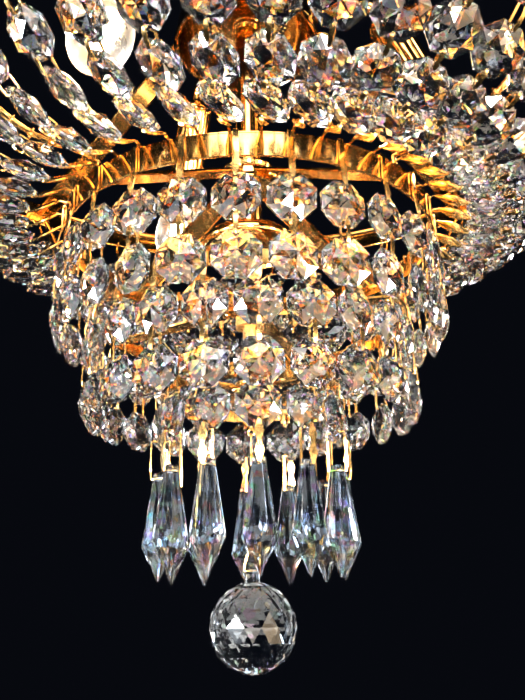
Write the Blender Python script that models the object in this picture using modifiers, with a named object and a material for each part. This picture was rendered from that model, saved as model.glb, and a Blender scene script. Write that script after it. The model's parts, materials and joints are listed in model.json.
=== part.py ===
"""A compact basket chandelier: a brass frame hung with strings of cut crystal.

Everything hangs below the ceiling plane, z = 0, on one central stem.  Angles go round the stem
from the front, which is -Y, towards +X.  Lengths are metres.
"""

import math

import bmesh
import bpy
from mathutils import Matrix, Vector

MM = 0.001
GAP = 0.3 * MM  # clearance between pieces that touch

# Cut crystal
OCTAGON = 14.0 * MM  # across the flats
OCTAGON_THICK = 6.4 * MM
PRISM_LENGTH = 33.7 * MM
PRISM_WIDTH = 11.0 * MM
PRISM_TOP = 4.6 * MM
PRISM_SHOULDER = 0.66  # where the long facets end, as a share of the length
PRISM_SIDES = 8
PIN_WIDTH = 1.2 * MM
PIN_LOZENGE = 3.5 * MM
PIN_THICK = 0.8 * MM
BALL_RADIUS = 13.7 * MM

# Rings: mean radius, lower edge and height of each brass band
BAND_THICK = 1.1 * MM
RING_A = (64.1 * MM, -160.5 * MM, 8.0 * MM)
RING_B = (53.3 * MM, -188.6 * MM, 4.5 * MM)
RING_C = (29.5 * MM, -215.0 * MM, 4.0 * MM)
OUTER_RING = (150.0 * MM, -93.0 * MM, 10.0 * MM)
FRAME_ANGLES = [math.radians(45 + 90 * k) for k in range(4)]
SPOKE_B_ANGLES = [math.radians(68 + 90 * k) for k in range(4)]

# Strings: how many, the first one's angle, and the heights of the crystals' centres
TIER_A = (26, math.radians(-2.2), (-172.9 * MM, -190.5 * MM))
TIER_B = (22, math.radians(3.5), (-199.6 * MM, -217.4 * MM))
TIER_C_COUNT = 12
TIER_C_START = math.radians(5.0)
TIER_C_ROW = -223.1 * MM
PRISM_TOP_Z = -239.0 * MM
HOOP_RADIUS = 0.6 * MM

# Basket: strings that sag from the outer ring to ring A
BASKET_COUNT = 44
BASKET_START = math.radians(4.3)
BASKET_OUTER = (150.0 * MM, -94.0 * MM)
BASKET_INNER = (66.5 * MM, -151.5 * MM)
BASKET_SAG = 24.0 * MM
BASKET_BEADS = 5
LAST_BEAD = 0.80  # how far along its string the lowest bead lies
BEAD_PITCH = 1 / 6  # from bead to bead, as a share of the string
HOOP_OVERHANG = 0.4  # of the pitch: how far a quarter's hoop runs past its end strings
RIB_RADIUS = 1.0 * MM
RIB_RISE = 5.0 * MM  # how far the ribs run above the strings

# Stem and centre line
STEM_RADIUS = 4.5 * MM
STEM_BORE = 3.0 * MM
STEM_TOP = -2.6 * MM
STEM_BOTTOM = -151.7 * MM
ROD_RADIUS = 2.5 * MM
ROD_TOP = -135.0 * MM
ROD_BOTTOM = -216.5 * MM
HUB_A_Z = -131.0 * MM
HUB_B_Z = -182.0 * MM
HUB_C_Z = -211.0 * MM
OUTER_HUB_Z = -40.5 * MM
BALL_CENTRE_Z = -286.4 * MM
CHAIN_Z = (-226.15 * MM, -247.65 * MM, -269.35 * MM)  # the three swing axes of the ball

# Three lamps in holders that hang steeply from curved arms
LAMP_ANGLES = [math.radians(86 + 120 * k) for k in range(3)]
LAMP_AXIS_START = (50.4 * MM, -58.0 * MM)
LAMP_TILT = math.radians(67)
HOLDER_SPAN = (6.0 * MM, 50.0 * MM)  # distances along the lamp's axis
LAMP_SPAN = (50.3 * MM, 80.0 * MM)
ARM_RADIUS = 2.6 * MM
ARM_BEND = [(21.5, -57.5), (38, -57), (45, -57.2), (49, -58.2), (51.3, -60.1)]  # (radius, z), mm

COLLECTION = "crystal_basket_chandelier"
ROUND = 24  # steps of a small turned piece
BAND_STEPS = 42

BRASS = (0.83, 0.58, 0.22, 1.0)
BRASS_DEEP = (0.70, 0.46, 0.15, 1.0)
CRYSTAL = (0.86, 0.90, 0.95, 1.0)
LAMP_GLASS = (1.0, 0.90, 0.70, 1.0)
STEEL = (0.62, 0.62, 0.60, 1.0)


def clear_scene():
    for old in list(bpy.data.objects):
        bpy.data.objects.remove(old, do_unlink=True)


def new_collection(name):
    made = bpy.data.collections.new(name)
    bpy.context.scene.collection.children.link(made)
    return made


clear_scene()
PARTS = new_collection(COLLECTION)
CUTTERS = new_collection("cutters")


def material(name, colour, roughness, metallic):
    made = bpy.data.materials.new(name)
    made.use_nodes = True
    shader = made.node_tree.nodes["Principled BSDF"]
    shader.inputs["Base Color"].default_value = colour
    shader.inputs["Roughness"].default_value = roughness
    shader.inputs["Metallic"].default_value = metallic
    return made


def brass(name):
    return material(name, BRASS, 0.16, 1.0)


def crystal(name):
    return material(name, CRYSTAL, 0.03, 0.0)


def add_part(name, mesh, finish, location=(0, 0, 0), parent=None):
    """An object of the model.  Its location is where its own motion turns it."""
    part = bpy.data.objects.new(name, mesh)
    part.location = location
    part.parent = parent
    part.data.materials.append(finish)
    PARTS.objects.link(part)
    return part


def add_guide(name, mesh):
    """A shape that is only joined to a part or cut from it."""
    guide = bpy.data.objects.new(name, mesh)
    guide.display_type = "WIRE"
    guide.hide_render = True
    CUTTERS.objects.link(guide)
    return guide


def join(part, guide):
    step = part.modifiers.new("join_" + guide.name, "BOOLEAN")
    step.operation = "UNION"
    step.solver = "EXACT"
    step.object = guide


def spin(obj, steps):
    """Turn a profile in the XZ plane once round Z."""
    turn = obj.modifiers.new("turn", "SCREW")
    turn.axis = "Z"
    turn.angle = 2 * math.pi
    turn.steps = steps
    turn.render_steps = steps
    turn.use_merge_vertices = True
    turn.merge_threshold = 0.00001
    turn.use_smooth_shade = steps > 12


def profile_mesh(name, points, closed):
    """(radius, z) points, running down the outer side."""
    mesh = bpy.data.meshes.new(name)
    links = [(i, i + 1) for i in range(len(points) - 1)]
    if closed:
        links.append((len(points) - 1, 0))
    mesh.from_pydata([(r, 0, z) for r, z in points], links, [])
    return mesh


def ring_profile(inner, outer, low, high):
    return [(outer, high), (outer, low), (inner, low), (inner, high)]


def turned(name, points, finish, closed=False, steps=ROUND, location=(0, 0, 0), parent=None):
    part = add_part(name, profile_mesh(name, points, closed), finish, location, parent)
    spin(part, steps)
    return part


def turned_guide(name, points, closed=True, steps=ROUND):
    guide = add_guide(name, profile_mesh(name, points, closed))
    spin(guide, steps)
    return guide


def mesh_from(name, bm):
    mesh = bpy.data.meshes.new(name)
    bm.to_mesh(mesh)
    bm.free()
    return mesh


def polar(radius, angle, z):
    return Vector((radius * math.sin(angle), -radius * math.cos(angle), z))


def outward(angle):
    return Vector((math.sin(angle), -math.cos(angle), 0))


def around(angle):
    return Vector((math.cos(angle), math.sin(angle), 0))


def loft(bm, stations):
    """A closed body through four-sided sections: (centre, side, front, half width, half depth)."""
    rows = []
    for centre, side, front, half_width, half_depth in stations:
        corners = (side * half_width, front * half_depth, -side * half_width, -front * half_depth)
        rows.append([bm.verts.new(centre + corner) for corner in corners])
    for upper, lower in zip(rows, rows[1:]):
        for i in range(4):
            j = (i + 1) % 4
            bm.faces.new((upper[i], upper[j], lower[j], lower[i]))
    bm.faces.new(rows[0])
    bm.faces.new(rows[-1])


def finish_body(name, bm):
    bmesh.ops.recalc_face_normals(bm, faces=bm.faces)
    return mesh_from(name, bm)


def octagon_sections(z):
    """(height, half width, half depth) down one crystal whose centre is at z."""
    half = OCTAGON / 2
    corner = half * math.tan(math.pi / 8)
    thin = OCTAGON_THICK * 0.28
    thick = OCTAGON_THICK / 2
    return [
        (z + half, corner, thin),
        (z + corner, half, thick),
        (z - corner, half, thick),
        (z - half, corner, thin),
    ]


def hanging_stations(angle, radius, sections):
    side = around(angle)
    front = outward(angle)
    return [(polar(radius, angle, z), side, front, w, d) for z, w, d in sections]


def tier_curtain(name, ring, tier):
    """All the strings of one tier, threaded on a thin hoop just under the ring's band."""
    radius, low, _ = ring
    count, start, rows = tier
    top = low - GAP
    hoop_z = top - HOOP_RADIUS
    bm = bmesh.new()
    for k in range(count):
        angle = start + k * 2 * math.pi / count
        sections = [(hoop_z, PIN_WIDTH / 2, PIN_THICK / 2)]
        for i, row in enumerate(rows):
            if i:
                between = (rows[i - 1] + row) / 2
                sections.append((between, PIN_WIDTH / 2, PIN_THICK / 2))
            sections += octagon_sections(row)
        loft(bm, hanging_stations(angle, radius, sections))
    curtain = add_part(name, finish_body(name, bm), crystal(name + "_crystal"))
    r = HOOP_RADIUS
    hoop = [(radius + r, hoop_z), (radius, hoop_z - r), (radius - r, hoop_z), (radius, hoop_z + r)]
    join(curtain, turned_guide(name + "_hoop", hoop, steps=count))


def basket_point(t, rise=0.0):
    """A point (radius, z) of the sagging strings: t runs from the outer ring, 0, to ring A, 1."""
    r = BASKET_OUTER[0] + (BASKET_INNER[0] - BASKET_OUTER[0]) * t
    fall = BASKET_INNER[1] - BASKET_OUTER[1]
    z = BASKET_OUTER[1] + fall * t - 4 * BASKET_SAG * t * (1 - t)
    run = Vector((BASKET_INNER[0] - BASKET_OUTER[0], fall - 4 * BASKET_SAG * (1 - 2 * t)))
    run.normalize()
    return r + run[1] * rise, z - run[0] * rise, run


def basket_stations(angle):
    """Sections down one sagging string: thin at both ends and midway between two beads."""
    beads = [LAST_BEAD - k * BEAD_PITCH for k in reversed(range(BASKET_BEADS))]
    thin = [0.0] + [t + BEAD_PITCH / 2 for t in beads] + [1.0]
    stations = []
    for t in sorted(beads + thin):
        r, z, run = basket_point(t)
        front = outward(angle) * run[1] - Vector((0, 0, run[0]))
        spacing = 2 * math.pi * r / BASKET_COUNT
        half_width = PIN_WIDTH / 2
        half_depth = PIN_THICK / 2
        if t in beads:
            half_width = min(OCTAGON, spacing - 0.8 * MM) / 2
            half_depth = OCTAGON_THICK / 2
        stations.append((polar(r, angle, z), around(angle), front, half_width, half_depth))
    return stations


def basket_curtains():
    """The basket in four quarters, each on its own arc of the hoop under the outer ring."""
    count = BASKET_COUNT // 4
    pitch = 2 * math.pi / BASKET_COUNT
    for quarter in range(4):
        name = f"basket_strings_{quarter + 1}"
        angles = [BASKET_START + (quarter * count + k) * pitch for k in range(count)]
        bm = bmesh.new()
        for angle in angles:
            loft(bm, basket_stations(angle))
        curtain = add_part(name, finish_body(name, bm), crystal(name + "_crystal"))
        ends = (angles[0] - HOOP_OVERHANG * pitch, angles[-1] + HOOP_OVERHANG * pitch)
        radius, z = BASKET_OUTER
        arc = [polar(radius, angle, z) for angle in (ends[0], *angles, ends[1])]
        join(curtain, add_guide(name + "_hoop", solid_tube(name + "_hoop", arc, HOOP_RADIUS, 4)))


def strap_bodies(name, angles, start, end, width, thick):
    """Flat straps that run outward from start to end, both (radius, z)."""
    bm = bmesh.new()
    run = Vector((end[0] - start[0], 0, end[1] - start[1]))
    middle = Vector(((start[0] + end[0]) / 2, 0, (start[1] + end[1]) / 2))
    slope = Matrix.Rotation(-math.atan2(run.z, run.x), 4, "Y")
    size = Matrix.Diagonal((run.length, width, thick, 1))
    for angle in angles:
        turn = Matrix.Rotation(angle - math.pi / 2, 4, "Z")
        place = turn @ Matrix.Translation(middle) @ slope @ size
        bmesh.ops.create_cube(bm, size=1, matrix=place)
    return mesh_from(name, bm)


def spoked_ring(name, ring, hub, angles, strap, steps=BAND_STEPS, ribs=()):
    """A brass band with its ribs, its straps and the hub collar that they are soldered to."""
    radius, low, height = ring
    inner_hub, outer_hub, hub_z, hub_height = hub
    strap_width, strap_thick, strap_end_z = strap
    band = ring_profile(radius - BAND_THICK / 2, radius + BAND_THICK / 2, low, low + height)
    part = turned(name, band, brass(name + "_brass"), closed=True, steps=steps)
    for rib in ribs:
        join(part, rib)
    start = ((inner_hub + outer_hub) / 2, hub_z)
    end = (radius - BAND_THICK * 0.1, strap_end_z)
    straps = strap_bodies(name + "_straps", angles, start, end, strap_width, strap_thick)
    join(part, add_guide(name + "_straps", straps))
    half = hub_height / 2
    collar = ring_profile(inner_hub, outer_hub, hub_z - half, hub_z + half)
    join(part, turned_guide(name + "_collar", collar))


def solid_tube(name, points, radius, sides):
    """A swept wire with flat ends, as a mesh body."""
    curve = bpy.data.curves.new(name, "CURVE")
    curve.dimensions = "3D"
    curve.bevel_depth = radius
    curve.bevel_resolution = (sides - 4) // 2
    curve.use_fill_caps = True
    line = curve.splines.new("POLY")
    line.points.add(len(points) - 1)
    for dot, point in zip(line.points, points):
        dot.co = (*point, 1)
    holder = bpy.data.objects.new(name, curve)
    CUTTERS.objects.link(holder)
    seen = holder.evaluated_get(bpy.context.evaluated_depsgraph_get())
    mesh = bpy.data.meshes.new_from_object(seen)
    bpy.data.objects.remove(holder)
    bm = bmesh.new()
    bm.from_mesh(mesh)
    bpy.data.meshes.remove(mesh)
    bmesh.ops.remove_doubles(bm, verts=bm.verts, dist=0.00001)
    bmesh.ops.recalc_face_normals(bm, faces=bm.faces)
    return mesh_from(name, bm)


def outer_frame():
    hub = (STEM_RADIUS + GAP, 10 * MM, OUTER_HUB_Z, 7 * MM)
    strap = (10 * MM, 1.5 * MM, OUTER_RING[1] + 5 * MM)
    ribs = []
    for k, angle in enumerate(FRAME_ANGLES):
        root_z = OUTER_RING[1] + 2.5 * MM
        points = [polar(OUTER_RING[0], angle, root_z)]
        points.append(polar(OUTER_RING[0] - 4 * MM, angle, root_z - 1 * MM))
        for i in range(2, 10):
            r, z, _ = basket_point(i / 10, RIB_RISE)
            points.append(polar(r, angle, z))
        foot = RING_A[1] + RING_A[2] + GAP
        points.append(polar(RING_A[0], angle, foot + 3 * RIB_RADIUS))
        points.append(polar(RING_A[0], angle, foot))
        ribs.append(add_guide(f"rib_{k}", solid_tube(f"rib_{k}", points, RIB_RADIUS, 6)))
    spoked_ring("outer_frame", OUTER_RING, hub, FRAME_ANGLES, strap, steps=50, ribs=ribs)


def lamp_point(angle, distance):
    """A point on a lamp's leaning axis."""
    r = LAMP_AXIS_START[0] + distance * math.cos(LAMP_TILT)
    return polar(r, angle, LAMP_AXIS_START[1] - distance * math.sin(LAMP_TILT))


def lamp_turn(angle):
    """Turns +Z onto a lamp's axis, outward and down."""
    return Matrix.Rotation(angle, 4, "Z") @ Matrix.Rotation(math.pi / 2 + LAMP_TILT, 4, "X")


def lamp_bell():
    """An inverted bowl round the stem, with three curved arms for the lamp holders."""
    inner = STEM_RADIUS + GAP
    outside = [(9, -44.3), (17, -47.6), (23.5, -54), (27, -63), (28, -73)]
    wall = 1.2
    inside = [(r - wall, z) for r, z in reversed(outside[1:])]
    points = [(r * MM, z * MM) for r, z in outside + inside]
    points += [(9 * MM, -47.4 * MM), (inner, -47.4 * MM), (inner, -44.3 * MM)]
    bell = turned("lamp_bell", points, brass("lamp_bell_brass"), closed=True, steps=24)
    for k, angle in enumerate(LAMP_ANGLES, start=1):
        points = [polar(r * MM, angle, z * MM) for r, z in ARM_BEND]
        points.append(lamp_point(angle, HOLDER_SPAN[0] - GAP))
        join(bell, add_guide(f"arm_{k}", solid_tube(f"arm_{k}", points, ARM_RADIUS, 8)))


def lamps():
    long = HOLDER_SPAN[1] - HOLDER_SPAN[0]
    holder = [(0, long), (6.8 * MM, long), (7.2 * MM, long * 0.95), (7.2 * MM, long * 0.12),
              (5 * MM, 0), (0, 0)]
    bulb_long = LAMP_SPAN[1] - LAMP_SPAN[0]
    bulb = [(0, bulb_long)]
    for share, radius in ((0.97, 3.2), (0.86, 6.8), (0.68, 9.2), (0.48, 9.8), (0.28, 8.6),
                          (0.12, 6.4), (0, 6)):
        bulb.append((radius * MM, bulb_long * share))
    bulb.append((0, 0))
    for k, angle in enumerate(LAMP_ANGLES, start=1):
        body = turned(f"lamp_holder_{k}", holder, brass(f"lamp_holder_{k}_brass"), steps=16,
                      location=lamp_point(angle, HOLDER_SPAN[0]))
        body.rotation_euler = lamp_turn(angle).to_euler()
        glass = material(f"lamp_{k}_glass", LAMP_GLASS, 0.1, 0.0)
        lamp = turned(f"lamp_{k}", bulb, glass, steps=14, location=lamp_point(angle, LAMP_SPAN[0]))
        lamp.rotation_euler = lamp_turn(angle).to_euler()


def centre_line():
    """The ceiling plate, canopy, stem and everything clamped on the stem and its rod."""
    bm = bmesh.new()
    size = Matrix.Diagonal((70 * MM, 18 * MM, 2 * MM, 1))
    bmesh.ops.create_cube(bm, size=1, matrix=Matrix.Translation((0, 0, -1 * MM)) @ size)
    steel = material("bracket_steel", STEEL, 0.35, 1.0)
    add_part("ceiling_bracket", mesh_from("ceiling_bracket", bm), steel)

    inner = STEM_RADIUS + GAP
    outside = [(45, 0), (44.2, -6), (38, -14), (26, -21), (13, -25.5)]
    inside = [(12.6, -24.3), (25.4, -19.8), (37, -12.9), (43, -5.4), (43.8, 0)]
    points = [(r * MM, z * MM) for r, z in outside]
    points += [(inner, -26 * MM), (inner, -24.8 * MM)]
    points += [(r * MM, z * MM) for r, z in inside]
    turned("canopy", points, brass("canopy_brass"), closed=True, steps=32)

    hex_bore = inner / math.cos(math.pi / 6)
    nut = ring_profile(hex_bore, 9 * MM, -31 * MM, -26.3 * MM)
    turned("canopy_nut", nut, brass("canopy_nut_brass"), closed=True, steps=6)
    tube = ring_profile(STEM_BORE, STEM_RADIUS, STEM_BOTTOM, STEM_TOP)
    turned("stem_tube", tube, brass("stem_brass"), closed=True)
    sleeve = ring_profile(inner, 5.6 * MM, -65.5 * MM, -47.7 * MM)
    turned("stem_sleeve", sleeve, brass("stem_sleeve_brass"), closed=True)

    bore = ROD_RADIUS + GAP
    rod = [(0, ROD_TOP), (ROD_RADIUS, ROD_TOP), (ROD_RADIUS, ROD_BOTTOM), (0, ROD_BOTTOM)]
    turned("lower_rod", rod, material("rod_brass", BRASS_DEEP, 0.25, 1.0), steps=16)
    cap_top = STEM_BOTTOM - GAP
    dish = [(8, 0), (14, -1.8), (17.6, -5), (18, -7.2), (17, -7.2), (16.7, -5.5), (13.5, -3), (8, -2),
            (7, -4.5)]  # an inverted saucer: (radius, height under its top), mm
    points = [(r * MM, cap_top + z * MM) for r, z in dish]
    points += [(bore, cap_top - 4.5 * MM), (bore, cap_top)]
    turned("stem_cap", points, brass("stem_cap_brass"), closed=True)
    nut_top = HUB_B_Z - 3 * MM - GAP
    hex_bore = bore / math.cos(math.pi / 6)
    nut = ring_profile(hex_bore, 5.5 * MM, nut_top - 3.7 * MM, nut_top)
    turned("lock_nut", nut, brass("lock_nut_brass"), closed=True, steps=6)
    top = HUB_C_Z - 2.5 * MM - GAP
    blind = ROD_BOTTOM - GAP
    finial = [(6 * MM, top), (6.5 * MM, top - 2 * MM), (4.5 * MM, top - 5 * MM),
              (1.2 * MM, top - 7.2 * MM), (0, top - 7.2 * MM)]
    finial_cup = [(0, blind), (bore, blind), (bore, top)] + finial
    turned("finial_nut", finial_cup, brass("finial_brass"), steps=16)


def frame_rings():
    stem_hub = STEM_RADIUS + GAP
    rod_hub = ROD_RADIUS + GAP
    spoked_ring("ring_a", RING_A, (stem_hub, 9.5 * MM, HUB_A_Z, 8 * MM), FRAME_ANGLES,
                (9 * MM, 1.5 * MM, RING_A[1] + 4 * MM))
    spoked_ring("ring_b", RING_B, (rod_hub, 5.5 * MM, HUB_B_Z, 6 * MM), SPOKE_B_ANGLES,
                (6 * MM, 1.3 * MM, RING_B[1] + 2 * MM))
    spoked_ring("ring_c", RING_C, (rod_hub, 5.5 * MM, HUB_C_Z, 5 * MM), FRAME_ANGLES,
                (5 * MM, 1.2 * MM, RING_C[1] + 2 * MM), steps=32)


def prism_mesh(name):
    """An eight-sided drop: long facets that flare from a small flat top, then a short point."""
    shoulder = -PRISM_LENGTH * PRISM_SHOULDER
    points = [(0, 0), (PRISM_TOP / 2, 0), (PRISM_WIDTH / 2, shoulder), (0, -PRISM_LENGTH)]
    return profile_mesh(name, points, False)


def prism_strings():
    """Twelve swinging strings on ring C: an octagon with its pins, then a prism."""
    radius, low, _ = RING_C
    ring_hole = low + 1.2 * MM
    prism_hole = PRISM_TOP_Z - 2 * MM
    for k in range(TIER_C_COUNT):
        angle = TIER_C_START + k * 2 * math.pi / TIER_C_COUNT
        hole = polar(radius, angle, ring_hole)
        sections = [(low - GAP, PIN_WIDTH / 2, PIN_THICK / 2)]
        sections += octagon_sections(TIER_C_ROW)
        bottom = TIER_C_ROW - OCTAGON / 2
        sections.append((bottom - 1 * MM, PIN_WIDTH / 2, PIN_THICK / 2))
        sections.append((bottom - 4 * MM, PIN_LOZENGE / 2, PIN_THICK / 2))
        sections.append((PRISM_TOP_Z + GAP, PIN_WIDTH / 2, PIN_THICK / 2))
        bm = bmesh.new()
        loft(bm, hanging_stations(angle, radius, sections))
        bmesh.ops.translate(bm, verts=bm.verts, vec=-hole)
        name = f"prism_link_{k + 1}"
        link = add_part(name, finish_body(name, bm), crystal(name + "_crystal"), location=hole)
        name = f"prism_{k + 1}"
        prism = add_part(name, prism_mesh(name), crystal(name + "_crystal"))
        prism.parent = link
        prism.location = (0, 0, prism_hole - ring_hole)
        prism.rotation_euler = (0, 0, angle + math.pi / PRISM_SIDES)
        for vertex in prism.data.vertices:
            vertex.co.z += PRISM_TOP_Z - prism_hole
        spin(prism, PRISM_SIDES)


def chain_link(name, top, bottom, side, front, location, parent):
    """A long bow-tie pin between two eyes, hung from location."""
    middle = (top + bottom) / 2
    bm = bmesh.new()
    ends = 0.7 * MM
    loft(bm, [(Vector((0, 0, z)) - location, side, front, w, PIN_THICK / 2)
              for z, w in ((top, ends), (middle, PIN_LOZENGE / 2), (bottom, ends))])
    link = add_part(name, finish_body(name, bm), brass(name + "_brass"))
    link.parent = parent
    link.location = location - (parent.location if parent else Vector())
    return link


def ball_drop():
    """The faceted ball on two links under the finial: each eye is square to the next."""
    x, y = Vector((1, 0, 0)), Vector((0, 1, 0))
    centre = Vector((0, 0, 0))
    half = GAP / 2
    finial_end = HUB_C_Z - 2.5 * MM - GAP - 7.2 * MM
    chain_link("ball_hook", finial_end - GAP, CHAIN_Z[0] + half, x, y, centre, None)
    upper = chain_link("ball_link_upper", CHAIN_Z[0] - half, CHAIN_Z[1] + half, y, x,
                       Vector((0, 0, CHAIN_Z[0])), None)
    lower = chain_link("ball_link_lower", CHAIN_Z[1] - half, CHAIN_Z[2] + half, x, y,
                       Vector((0, 0, CHAIN_Z[1])), None)
    lug_top = CHAIN_Z[2] - half
    points = [(0, lug_top), (1.8 * MM, lug_top)]
    start = math.asin(1.8 * MM / BALL_RADIUS)
    steps = 9
    for i in range(steps + 1):
        bend = start + (math.pi - start) * i / steps
        r = BALL_RADIUS * math.sin(bend) if i < steps else 0
        points.append((r, BALL_CENTRE_Z + BALL_RADIUS * math.cos(bend)))
    points = [(r, z - CHAIN_Z[2]) for r, z in points]
    ball = turned("ball", points, crystal("ball_crystal"), steps=16)
    ball.location = (0, 0, CHAIN_Z[2])
    lower.parent = upper
    lower.location = (0, 0, CHAIN_Z[1] - CHAIN_Z[0])
    ball.parent = lower
    ball.location = (0, 0, CHAIN_Z[2] - CHAIN_Z[1])


centre_line()
outer_frame()
lamp_bell()
lamps()
frame_rings()
basket_curtains()
tier_curtain("tier_a_strings", RING_A, TIER_A)
tier_curtain("tier_b_strings", RING_B, TIER_B)
prism_strings()
ball_drop()
bpy.context.view_layer.update()
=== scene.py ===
# %% [markdown]
# # A crystal basket chandelier
# A brass frame hangs on one stem.  Strings of cut octagons sag from a wide ring to a smaller one, two
# curtains and a ring of long prisms hang below, and a faceted ball closes the centre.  Real crystal shows
# its shape only through what it bends and mirrors, so every stone here is a closed body with true facets.
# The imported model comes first: it is the fixed frame that every finer piece below is placed on.

# %% Load the frame
import json
import math
import random

import bmesh
import bpy
from mathutils import Matrix, Vector

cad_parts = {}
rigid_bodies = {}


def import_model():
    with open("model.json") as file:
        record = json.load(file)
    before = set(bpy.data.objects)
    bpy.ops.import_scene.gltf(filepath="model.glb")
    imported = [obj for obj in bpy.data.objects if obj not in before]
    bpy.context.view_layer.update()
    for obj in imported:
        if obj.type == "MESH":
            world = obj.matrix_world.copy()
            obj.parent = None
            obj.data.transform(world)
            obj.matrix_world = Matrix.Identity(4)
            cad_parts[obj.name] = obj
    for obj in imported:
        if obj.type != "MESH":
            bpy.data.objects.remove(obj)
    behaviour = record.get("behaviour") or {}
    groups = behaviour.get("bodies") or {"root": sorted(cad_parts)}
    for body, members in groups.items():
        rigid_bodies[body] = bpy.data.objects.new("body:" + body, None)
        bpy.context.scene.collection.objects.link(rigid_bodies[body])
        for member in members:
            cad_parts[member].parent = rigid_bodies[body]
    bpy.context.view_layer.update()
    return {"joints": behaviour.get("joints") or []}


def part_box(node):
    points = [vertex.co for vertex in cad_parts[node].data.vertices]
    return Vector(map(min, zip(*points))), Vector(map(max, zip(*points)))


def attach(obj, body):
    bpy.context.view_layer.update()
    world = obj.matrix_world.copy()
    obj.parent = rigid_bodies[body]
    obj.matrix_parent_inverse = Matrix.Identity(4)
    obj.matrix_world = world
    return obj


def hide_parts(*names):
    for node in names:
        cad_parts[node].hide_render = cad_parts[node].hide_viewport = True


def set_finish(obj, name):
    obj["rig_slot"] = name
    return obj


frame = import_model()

MM = 0.001

# %% [markdown]
# ## Directions round the stem
# Everything is round the stem, so places are given as a radius, an angle and a height.  The angle starts
# at the front, -Y, and goes towards +X.  `outward` points away from the stem and `around` along the ring.

# %% Polar places
UP = Vector((0, 0, 1))


def outward(angle):
    return Vector((math.sin(angle), -math.cos(angle), 0))


def around(angle):
    return Vector((math.cos(angle), math.sin(angle), 0))


def polar(radius, angle, z):
    """The point at a radius, an angle and a height."""
    return outward(angle) * radius + UP * z


def fan(count, start=0.0):
    """Equal angles all the way round."""
    return [start + k * 2 * math.pi / count for k in range(count)]


def turned_size(node):
    """Radius, lowest and highest point of a node that is round the stem."""
    low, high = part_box(node)
    return (high.x - low.x) / 2, low.z, high.z


def place_round_stem(node):
    """Radius and angle of a node's middle."""
    low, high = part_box(node)
    middle = (low + high) / 2
    return math.hypot(middle.x, middle.y), math.atan2(middle.x, -middle.y)


print("stem:", [round(v / MM, 1) for v in turned_size("stem_tube")], "mm")

# %% [markdown]
# ## The camera
# The view is from close by and from below, as someone sees who stands under the lamp and looks up a
# little.  A lens of about 42 mm keeps the near crystals large and the far ones small.  The slight roll is
# the tilt of a camera held in the hand.

# %% Camera
LOOK_UP = math.radians(18.33)
ROLL = math.radians(-0.9)
camera_data = bpy.data.cameras.new("camera")
camera_data.lens = 42.3
camera_data.sensor_width = 36
camera_data.clip_start = 0.01
camera = bpy.data.objects.new("camera", camera_data)
bpy.context.scene.collection.objects.link(camera)
tilt = Matrix.Rotation(math.pi / 2 + LOOK_UP, 4, "X") @ Matrix.Rotation(ROLL, 4, "Z")
camera.matrix_world = Matrix.Translation((0.00417, -0.2664, -0.285)) @ tilt
bpy.context.scene.camera = camera
bpy.context.scene.view_settings.view_transform = "Standard"  # lets the brightest glints burn out
print("camera:", [round(v, 4) for v in camera.location])

# %% [markdown]
# ## Shader groups
# Brass and crystal both owe their look to small changes over the surface, so each effect is a group that
# is built once.  A group gives out only colours and values.  The Principled shader stays in the material,
# where a reader can see which socket each effect feeds.


# %% A small language for node groups
def new_group(name, inputs, outputs):
    """A shader group with its sockets, and the two nodes that hold them."""
    group = bpy.data.node_groups.new(name, "ShaderNodeTree")
    for label, kind, value in inputs:
        socket = group.interface.new_socket(label, in_out="INPUT", socket_type=kind)
        socket.default_value = value
    for label, kind in outputs:
        group.interface.new_socket(label, in_out="OUTPUT", socket_type=kind)
    return group, group.nodes.new("NodeGroupInput"), group.nodes.new("NodeGroupOutput")


def node(tree, kind, **settings):
    made = tree.nodes.new(kind)
    for key, value in settings.items():
        setattr(made, key, value)
    return made


def scaled_place(tree, scale):
    """The place on the piece, multiplied by a scale that another socket gives."""
    place = node(tree, "ShaderNodeTexCoord")
    product = node(tree, "ShaderNodeVectorMath", operation="SCALE")
    tree.links.new(place.outputs["Object"], product.inputs[0])
    tree.links.new(scale, product.inputs["Scale"])
    return product.outputs["Vector"]


def between(tree, value, low, high, to_low, to_high):
    """Stretches a value from one range to another and stops at the ends."""
    step = node(tree, "ShaderNodeMapRange")
    for label, given in zip(("Value", "From Min", "From Max", "To Min", "To Max"),
                            (value, low, high, to_low, to_high)):
        if isinstance(given, (int, float)):
            step.inputs[label].default_value = given
        else:
            tree.links.new(given, step.inputs[label])
    return step.outputs["Result"]


def mixed(tree, share, first, second):
    """A colour between two colours."""
    step = node(tree, "ShaderNodeMix", data_type="RGBA")
    for socket, given in zip((step.inputs[0], step.inputs[6], step.inputs[7]), (share, first, second)):
        if isinstance(given, (int, float, tuple)):
            socket.default_value = given
        else:
            tree.links.new(given, socket)
    return step.outputs[2]


print("helpers for groups are ready")

# %% [markdown]
# ## The fire of the crystal
# Cut lead crystal splits white light, so a few spots on each stone flash blue, green or orange while the
# rest stays clear.  Tracing every wavelength would be slow.  Here small cells fill the stone's space, and
# only a share of them gets a colour: light that passes there leaves a little tinted.

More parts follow.
